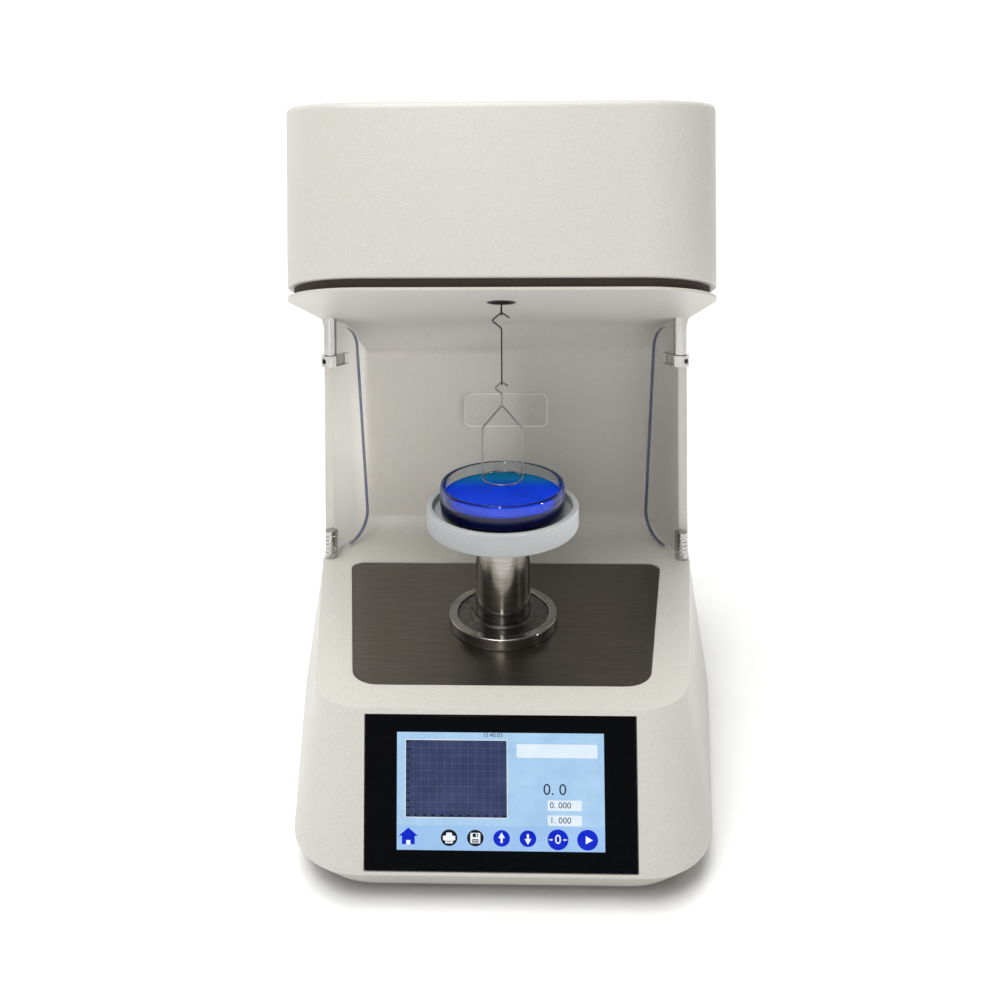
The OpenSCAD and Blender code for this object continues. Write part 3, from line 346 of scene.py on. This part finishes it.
for node, (name, bevel) in bevels.items():
    # the faces in the joint under the head get a dark colour as painted shade
    gapShade = (finish["gap_shade_paint"], inGap) if node == "main_housing" else None
    dressNode(node, name, finish[nodeSlot[node]], bevel, second=gapShade)
for side in ("left", "right"):
    dressNode(side + "_door", side + "_draught_door", finish["clear_acrylic"], shell["doorEdge"],
              second=(finish["acrylic_edge"], onDoorEdge))
for side in ("left", "right"):
    node = side + "_clamp"
    dressNode(node, side + "_door_clamp", finish[nodeSlot[node]], shell["clampEdge"],
              second=(finish["clear_acrylic"], onJaw))
label = mergedCopy("label_plate")
front = [face for face in label.faces if face.normal.y < -0.9]
# the rim round the front face takes the painted highlight of the film's cut edge
for face in bmesh.ops.inset_region(label, faces=front, thickness=shell["labelRim"] * mm)["faces"]:
    face.material_index = 1
keepPiece("blank_label", label, nodeBody["label_plate"], [finish["clear_label"], finish["label_edge_highlight"]],
          ["label_plate"])
print("housing dressed")


# Stage, in mm. Wetting takes the liquid into the dish's wall, so that no air gap shows behind the glass
stage = {"fit": 0.1, "seat": 0.3, "bushNeck": 17, "spigot": 6, "spigotFit": 0.05, "tableRim": 2.8,
         "tableFloor": 4, "wall": 1.6, "wetting": 1.3}
low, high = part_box("stage_collar")
stageAxis = ((low.x + high.x) / 2, (low.y + high.y) / 2)


def span(node):   # a round piece's radius, foot and top
    low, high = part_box(node)
    return (high.x - low.x) / 2 / mm, low.z / mm, high.z / mm


r, z0, z1 = span("stage_collar")
bushR, bushLow, bushHigh = span("guide_bush")
bore = bushR + stage["seat"]
turnPiece("steel_collar", "stage_collar", finish["turned_steel"],
          [(bore, z0), (r, z0), (r, z1), (bore, z1)], stageAxis, bevel=0.6)
postR, postLow, postHigh = span("lift_post")
bore, neck = postR + stage["fit"], stage["bushNeck"]
turnPiece("steel_bush", "guide_bush", finish["bush_steel"],
          [(bore, bushLow), (neck, bushLow), (neck, z0), (bushR, z0), (bushR, bushHigh - 0.8),
           (postR + 2.2, bushHigh - 0.8), (postR + 1.8, bushHigh), (bore, bushHigh)], stageAxis, bevel=0.25)
r, z0, z1 = span("sample_table")
spigot = stage["spigot"]
turnPiece("steel_post", "lift_post", finish["turned_steel"],
          [(0, postLow), (postR, postLow), (postR, z0), (spigot, z0), (spigot, postHigh), (0, postHigh)],
          stageAxis, bevel=0.15)
socket, socketTop = spigot + stage["spigotFit"], z0 + stage["tableFloor"] + stage["spigotFit"]
inner, tray = r - stage["tableRim"], z1 - stage["tableFloor"]
turnPiece("milky_table", "sample_table", finish["table_polymer"],
          [(socket, z0), (r - 2, z0), (r - 0.6, z0 + 0.5), (r, z0 + 1.6), (r, z1), (inner, z1),
           (inner, tray), (0, tray), (0, socketTop), (socket, socketTop)], stageAxis, bevel=0.5)
r, z0, z1 = span("glass_dish")
inner = r - stage["wall"]
turnPiece("glass_bowl", "glass_dish", finish["dish_glass"],
          [(0, z0), (r - 2.4, z0), (r - 1.1, z0 + 0.35), (r - 0.3, z0 + 1.2), (r, z0 + 2.6), (r, z1 - 1.4),
           (r - 0.2, z1 - 0.5), (r - 0.5, z1 - 0.1), (r - 0.8, z1), (inner + 0.5, z1 - 0.1),
           (inner + 0.2, z1 - 0.5),
           (inner, z1 - 1.4), (inner, z0 + 4), (inner - 0.4, z0 + 2.6), (inner - 1.3, z0 + 1.8),
           (inner - 2.4, z0 + stage["wall"]), (0, z0 + stage["wall"])], stageAxis)
r, z0, z1 = span("sample_liquid")
r += stage["wetting"]
# the liquid's faces that don't face up take the painted shade of its side
turnPiece("blue_sample", "sample_liquid", finish["blue_liquid"],
          [(0, z0), (r - 2.6, z0), (r - 0.9, z0 + 1.0), (r, z0 + 2.6), (r, z1), (r - 0.5, z1 - 0.35),
           (r - 1.6, z1 - 0.6), (0, z1 - 0.6)], stageAxis,
          second=(finish["shaded_liquid_side"], lambda face: face.normal.z < 0.3))
print("stage turned")


# Ring and hooks: sizes of the bent wires in mm, and points along a bend
wires = {"rod": 0.9, "thickness": 0.7, "eye": 1.8, "play": 0.4, "hook": 8.0, "ringHook": 6.0,
         "hookGap": 0.43, "legs": 24, "apex": 35, "bend": 8, "reach": 1.1, "eyeSteps": 24,
         "ringSteps": 96}
hangLow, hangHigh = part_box("ring_hanger")
ringLow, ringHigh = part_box("platinum_ring")
rodLow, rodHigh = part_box("hook_rod")
axisY = stageAxis[1] / mm
eye, play, hookGap = wires["eye"], wires["play"], wires["hookGap"]


def softened(points):   # rounds each inner corner of a run of points
    run = [Vector(points[0])]
    for before, corner, after in zip(points, points[1:], points[2:]):
        corner = Vector(corner)
        toBefore, toAfter = Vector(before) - corner, Vector(after) - corner
        start = corner + toBefore.normalized() * min(wires["reach"], toBefore.length * 0.45)
        end = corner + toAfter.normalized() * min(wires["reach"], toAfter.length * 0.45)
        for i in range(wires["bend"] + 1):
            t = i / wires["bend"]
            run.append(start * (1 - t) ** 2 + corner * 2 * t * (1 - t) + end * t ** 2)
    return run + [Vector(points[-1])]


def hookPoints(top, s):   # s is the hook's height
    return [(0.48 * s, axisY, top - 0.33 * s), (0, axisY, top), (-0.58 * s, axisY, top - 0.5 * s),
            (0, axisY, top - 0.95 * s)]


def eyePoints(z):
    turns = [2 * math.pi * i / wires["eyeSteps"] for i in range(wires["eyeSteps"])]
    return [(0, axisY + eye * math.cos(turn), z + eye * math.sin(turn)) for turn in turns]


rodFoot = rodLow.z / mm + eye + play
hangFoot = hangLow.z / mm + eye + play
wirePiece("hook_stem", "hook_rod", finish["dark_wire"],
          [(softened([(0, axisY, rodFoot + eye), (0, axisY, rodHigh.z / mm)]), False),
           (eyePoints(rodFoot), True)],
          wires["rod"])
shank = hookPoints(rodFoot - hookGap, wires["hook"]) + [(0, axisY, hangFoot + eye)]
wirePiece("wire_hanger", "ring_hanger", finish["dark_wire"],
          [(softened(shank), False), (eyePoints(hangFoot), True)], wires["thickness"])
ringR = (ringHigh.x - ringLow.x) / 2 / mm - play
ringZ = ringLow.z / mm + play
apex, shoulder = ringZ + wires["apex"], ringZ + wires["legs"]
shank = hookPoints(hangFoot - hookGap, wires["ringHook"]) + [(0, axisY, apex - 0.6)]
stirrup = [(-ringR, axisY, ringZ), (-ringR, axisY, shoulder), (0, axisY, apex), (ringR, axisY, shoulder),
           (ringR, axisY, ringZ)]
turns = [2 * math.pi * i / wires["ringSteps"] for i in range(wires["ringSteps"])]
circle = [(ringR * math.cos(turn), axisY + ringR * math.sin(turn), ringZ) for turn in turns]
wirePiece("measuring_ring", "platinum_ring", finish["platinum"],
          [(softened(shank), False), (softened(stirrup), False), (circle, True)], wires["thickness"])
print("wires bent")


# Touch screen: the picture is laid out flat in mm, round the glass's middle, then set on the glass
screen = {"width": 84.0, "height": 48.0, "raise": 1.0, "shrinkX": 0.988, "shrinkY": 0.94, "lift": 0.02,
          "halfGlass": 30}
glassLow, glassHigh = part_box("touch_glass")
lean = math.atan(4.5 / 64)   # the front face's slope
dressNode("touch_glass", "cover_glass", finish["screen_glass"], 0.6)
glassMid = Vector((0, glassLow.y + screen["halfGlass"] * mm * math.sin(lean),
                   (glassLow.z + glassHigh.z) / 2))
glassMid += Vector((0, math.cos(lean), -math.sin(lean))) * -screen["lift"] * mm
facePlace = Matrix.Translation(glassMid) @ Matrix(
    ((1, 0, 0, 0), (0, math.sin(lean), -math.cos(lean), 0), (0, math.cos(lean), math.sin(lean), 0),
     (0, 0, 0, 1)))


def glow(name, light, dark):   # lit pixels under the glass
    return makeFinish(name, {"light": "#0c0e12", "dark": "#08090c", "grain": 8, "cloud": 20,
                             "rough": (0.3, 0.4),
                             "bump": 0.0, "depth": 0.01, "shader": {"IOR": 1.1, "Emission Strength": 1.0},
                             "lit": (light, dark)})


inks = [glow("screen_sky", "#b4d6f4", "#a4c8ea"), glow("screen_bar", "#a6caf2", "#9cc2ec"),
        glow("chart_slate", "#3d476b", "#323b5c"), glow("field_white", "#e8f4fe", "#dcecfa"),
        glow("digit_ink", "#26304c", "#202a44"), glow("icon_blue", "#0b2cd4", "#0922c0"),
        glow("icon_black", "#171c26", "#12161f"), glow("icon_white", "#f6faff", "#eaf3fd"),
        glow("grid_dots", "#66709a", "#5a648c")]
sky, bar, slate, field, ink, blue, black, white, dots = range(9)
art = bmesh.new()


def addPlate(x, y, w, h, lift, colour, radius=0.0):
    matrix = Matrix.Translation((x, y, lift)) @ Matrix.Diagonal((w, h, 1, 1))
    made = bmesh.ops.create_grid(art, x_segments=1, y_segments=1, size=0.5, matrix=matrix)
    if radius:
        made = bmesh.ops.bevel(art, geom=made["verts"], offset=radius, segments=5, profile=0.5,
                               affect="VERTICES", material=-1)
    for face in {f for v in made["verts"] for f in v.link_faces}:
        face.material_index = colour


def addDisc(x, y, radius, lift, colour, sides=40, turn=0.0, flat=1.0):
    matrix = Matrix.Translation((x, y, lift)) @ Matrix.Diagonal((1, flat, 1, 1))
    made = bmesh.ops.create_circle(art, cap_ends=True, segments=sides, radius=radius,
                                   matrix=matrix @ Matrix.Rotation(turn, 4, "Z"))
    for face in {f for v in made["verts"] for f in v.link_faces}:
        face.material_index = colour


def addText(words, x, y, height, lift, colour, bold=0.0):
    curve = bpy.data.curves.new("digits", "FONT")
    curve.body = words
    curve.size = height
    curve.align_x = "CENTER"
    curve.align_y = "CENTER"
    curve.offset = bold
    holder = bpy.data.objects.new("digits", curve)
    bpy.context.scene.collection.objects.link(holder)
    bpy.context.view_layer.update()
    mesh = bpy.data.meshes.new_from_object(holder.evaluated_get(bpy.context.evaluated_depsgraph_get()))
    bpy.data.objects.remove(holder)
    mesh.transform(Matrix.Translation((x, y, lift)))
    for face in mesh.polygons:
        face.material_index = colour
    art.from_mesh(mesh)


up = screen["raise"]
addPlate(0, up, screen["width"], screen["height"], 0, sky)
addPlate(0, up - 19, screen["width"], 10, 0.02, bar)

chart = {"x": -17.9, "y": up + 5.1, "w": 41.0, "h": 31.4, "cols": 13, "rows": 10, "dashes": (24, 30),
         "dash": (0.6, 0.18), "rim": 0.5}
addPlate(chart["x"], chart["y"], chart["w"] + chart["rim"], chart["h"] + chart["rim"], 0.03, white)
addPlate(chart["x"], chart["y"], chart["w"], chart["h"], 0.05, slate)
left, foot = chart["x"] - chart["w"] / 2, chart["y"] - chart["h"] / 2
dashLong, dashWide = chart["dash"]
for i in range(1, chart["cols"]):
    for k in range(chart["dashes"][0]):
        y = foot + (k + 0.5) * chart["h"] / chart["dashes"][0]
        addPlate(left + i * chart["w"] / chart["cols"], y, dashWide, dashLong, 0.07, dots)
for k in range(1, chart["rows"]):
    for i in range(chart["dashes"][1]):
        x = left + (i + 0.5) * chart["w"] / chart["dashes"][1]
        addPlate(x, foot + k * chart["h"] / chart["rows"], dashLong, dashWide, 0.07, dots)
for k in range(11):   # ticks of both scales
    addPlate(left + 0.9, foot + 0.7 + k * 3.0, 1.5, 0.55, 0.09, black)
for i in range(11):
    addPlate(left + 4 + i * 3.6, foot + 0.7, 1.4, 0.6, 0.09, black)

addPlate(23, up + 16.7, 33.4, 6.1, 0.03, bar, 0.4)
addPlate(23, up + 16.7, 32.8, 5.6, 0.05, field, 0.3)
addText("0. 0", 22, up + 0.9, 6.4, 0.06, ink)
for y, value in ((-5.4, "0. 000"), (-11.5, "1. 000")):
    addPlate(25.9, up + y, 13.8, 4.2, 0.05, field, 0.6)
    addText(value, 24.2, up + y, 3.5, 0.07, ink)
addText("15:40:03", -3, up + 23.0, 2.4, 0.06, ink)

iconY = up - 18.9
for x in (-20.8, -10.2):
    addDisc(x, iconY, 3.35, 0.05, black)
for x in (0.4, 11.0):
    addDisc(x, iconY, 3.35, 0.05, blue)
for x in (23.1, 35.0):
    addDisc(x, iconY - 0.3, 4.2, 0.05, blue)
addDisc(-37.3, iconY + 1.7, 4.5, 0.05, blue, 3, 0, 0.5)              # home
addPlate(-37.3, iconY - 1.0, 5.2, 3.6, 0.06, blue)
addPlate(-37.3, iconY - 2.0, 1.7, 1.8, 0.08, white)
addPlate(-20.8, iconY + 1.3, 2.4, 1.6, 0.07, white, 0.4)             # printer
addPlate(-20.8, iconY - 0.1, 5.0, 1.9, 0.07, white, 0.5)
addPlate(-20.8, iconY - 1.5, 3.0, 1.4, 0.08, white, 0.2)
addPlate(-20.8, iconY - 1.4, 2.0, 0.3, 0.09, black)
addPlate(-10.2, iconY, 4.0, 4.2, 0.07, white, 0.4)                   # save
addPlate(-10.2, iconY + 1.1, 2.2, 1.4, 0.09, black)
addPlate(-10.2, iconY - 1.1, 2.6, 1.3, 0.09, black)
addPlate(-9.7, iconY + 1.1, 0.5, 1.0, 0.10, white)
addPlate(-10.2, iconY - 1.1, 2.2, 0.3, 0.10, white)
for x, way in ((0.4, 1), (11.0, -1)):                                # up and down
    addPlate(x, iconY - 0.4 * way, 0.9, 2.9, 0.07, white)
    addDisc(x, iconY + 0.9 * way, 1.55, 0.08, white, 3, math.radians(90 - 90 * way))
addText("0", 23.1, iconY - 0.3, 5.2, 0.07, white, 0.03)              # zero
for way in (-1, 1):
    addPlate(23.1 + 3.2 * way, iconY - 0.3, 1.0, 0.35, 0.07, white)
    addDisc(23.1 + 2.5 * way, iconY - 0.3, 0.55, 0.08, white, 3, math.radians(90 * way))
addDisc(35.2, iconY - 0.3, 1.9, 0.07, white, 3, math.radians(-90))   # play

bmesh.ops.scale(art, vec=(screen["shrinkX"] * mm, screen["shrinkY"] * mm, mm), verts=art.verts)
bmesh.ops.transform(art, matrix=facePlace, verts=art.verts)
keepPiece("screen_picture", art, "housing", inks, thickness=0.02)
print("screen drawn")


# Room: a white cyclorama stands behind the part and along its left, and the room in front of it is dim
room = {"floor": 6.0, "front": 0.12, "back": 1.1, "lean": -0.15, "turn": (0.0, 0.6), "sky": 2.3, "key": 8,
        "strip": 3, "side": 0.04}
floorMesh = bmesh.new()
bmesh.ops.create_grid(floorMesh, x_segments=1, y_segments=1, size=room["floor"])
mesh = bpy.data.meshes.new("floor")
floorMesh.to_mesh(mesh)
floorMesh.free()
floor = bpy.data.objects.new("floor", mesh)
bpy.context.scene.collection.objects.link(floor)
mesh.materials.append(makeFinish(
    "floor_white", {"light": "#f7f7f6", "dark": "#f3f3f2", "grain": 40, "rough": (0.7, 0.8), "bump": 0.0}))

world = bpy.data.worlds.new("studio")
bpy.context.scene.world = world
world.use_nodes = True
tree = world.node_tree
tree.nodes.clear()
sphere = addNode(tree, "ShaderNodeTexCoord").outputs["Generated"]
way = addNode(tree, "ShaderNodeSeparateXYZ", None, {"Vector": sphere})
turned = addNode(tree, "ShaderNodeMath", {"operation": "MULTIPLY_ADD", 1: room["lean"]},
                 {0: way.outputs["X"], 2: way.outputs["Y"]})
depth = addNode(tree, "ShaderNodeMapRange",
                {"interpolation_type": "SMOOTHSTEP", "From Min": room["turn"][0],
                 "From Max": room["turn"][1],
                 "To Min": room["front"], "To Max": room["back"]}, {"Value": turned.outputs["Value"]})
backdrop = addNode(tree, "ShaderNodeBackground", {"Color": (1, 1, 1, 1)},
                   {"Strength": depth.outputs["Result"]})
addNode(tree, "ShaderNodeOutputWorld", None, {"Surface": backdrop.outputs["Background"]})
bpy.context.scene.view_settings.view_transform = "Standard"


# A sun's size is its width across the sky in degrees
def addLamp(name, place, target, size, power, kind="AREA", spread=180):
    lamp = bpy.data.lights.new(name, kind)
    lamp.energy = power
    if kind == "SUN":
        lamp.angle = math.radians(size)
    else:
        lamp.shape = "RECTANGLE"
        lamp.size, lamp.size_y = size
        lamp.spread = math.radians(spread)
    holder = bpy.data.objects.new(name, lamp)
    holder.location = place
    holder.rotation_euler = (Vector(target) - Vector(place)).to_track_quat("-Z", "Y").to_euler()
    bpy.context.scene.collection.objects.link(holder)


addLamp("white_sky", (-0.15, -0.25, 1.5), (0, 0, 0), 45, room["sky"], "SUN")
addLamp("key_softbox", (-0.3, -0.95, 1.35), (0, -0.08, 0.08), (0.6, 0.6), room["key"])
addLamp("side_snoot", (0.95, -0.31, 0.17), (-0.1, 0.035, 0.14), (0.12, 0.1), room["side"], spread=9)
addLamp("strip_light", (-0.12, -1.6, 0.75), (0, 0, 0.12), (0.1, 0.9), room["strip"])

# Camera: place in mm, angles in degrees, and focal length, frame and the row at eye level in pixels
view = {"place": (9.3, -455.0, 294.4), "pitch": 0.246, "yaw": 1.361, "roll": -0.359, "focal": 836.8,
        "axisRow": 174.4, "frame": 1000, "sensor": 36.0}
pitch, yaw, roll = (math.radians(view[k]) for k in ("pitch", "yaw", "roll"))
ahead = Vector((-math.sin(yaw) * math.cos(pitch), math.cos(yaw) * math.cos(pitch), -math.sin(pitch)))
level = Vector((math.cos(yaw), math.sin(yaw), 0))
right = level * math.cos(roll) + level.cross(ahead) * math.sin(roll)
upward = level.cross(ahead) * math.cos(roll) - level * math.sin(roll)
lens = bpy.data.cameras.new("camera")
lens.sensor_width = view["sensor"]
lens.lens = view["focal"] / view["frame"] * view["sensor"]
lens.shift_y = (view["axisRow"] - view["frame"] / 2) / view["frame"]
lens.clip_start = 0.01
camera = bpy.data.objects.new("camera", lens)
facing = Matrix((right, upward, -ahead)).transposed().to_4x4()
camera.matrix_world = Matrix.Translation(Vector(view["place"]) * mm) @ facing
bpy.context.scene.collection.objects.link(camera)
bpy.context.scene.camera = camera
print("room ready")
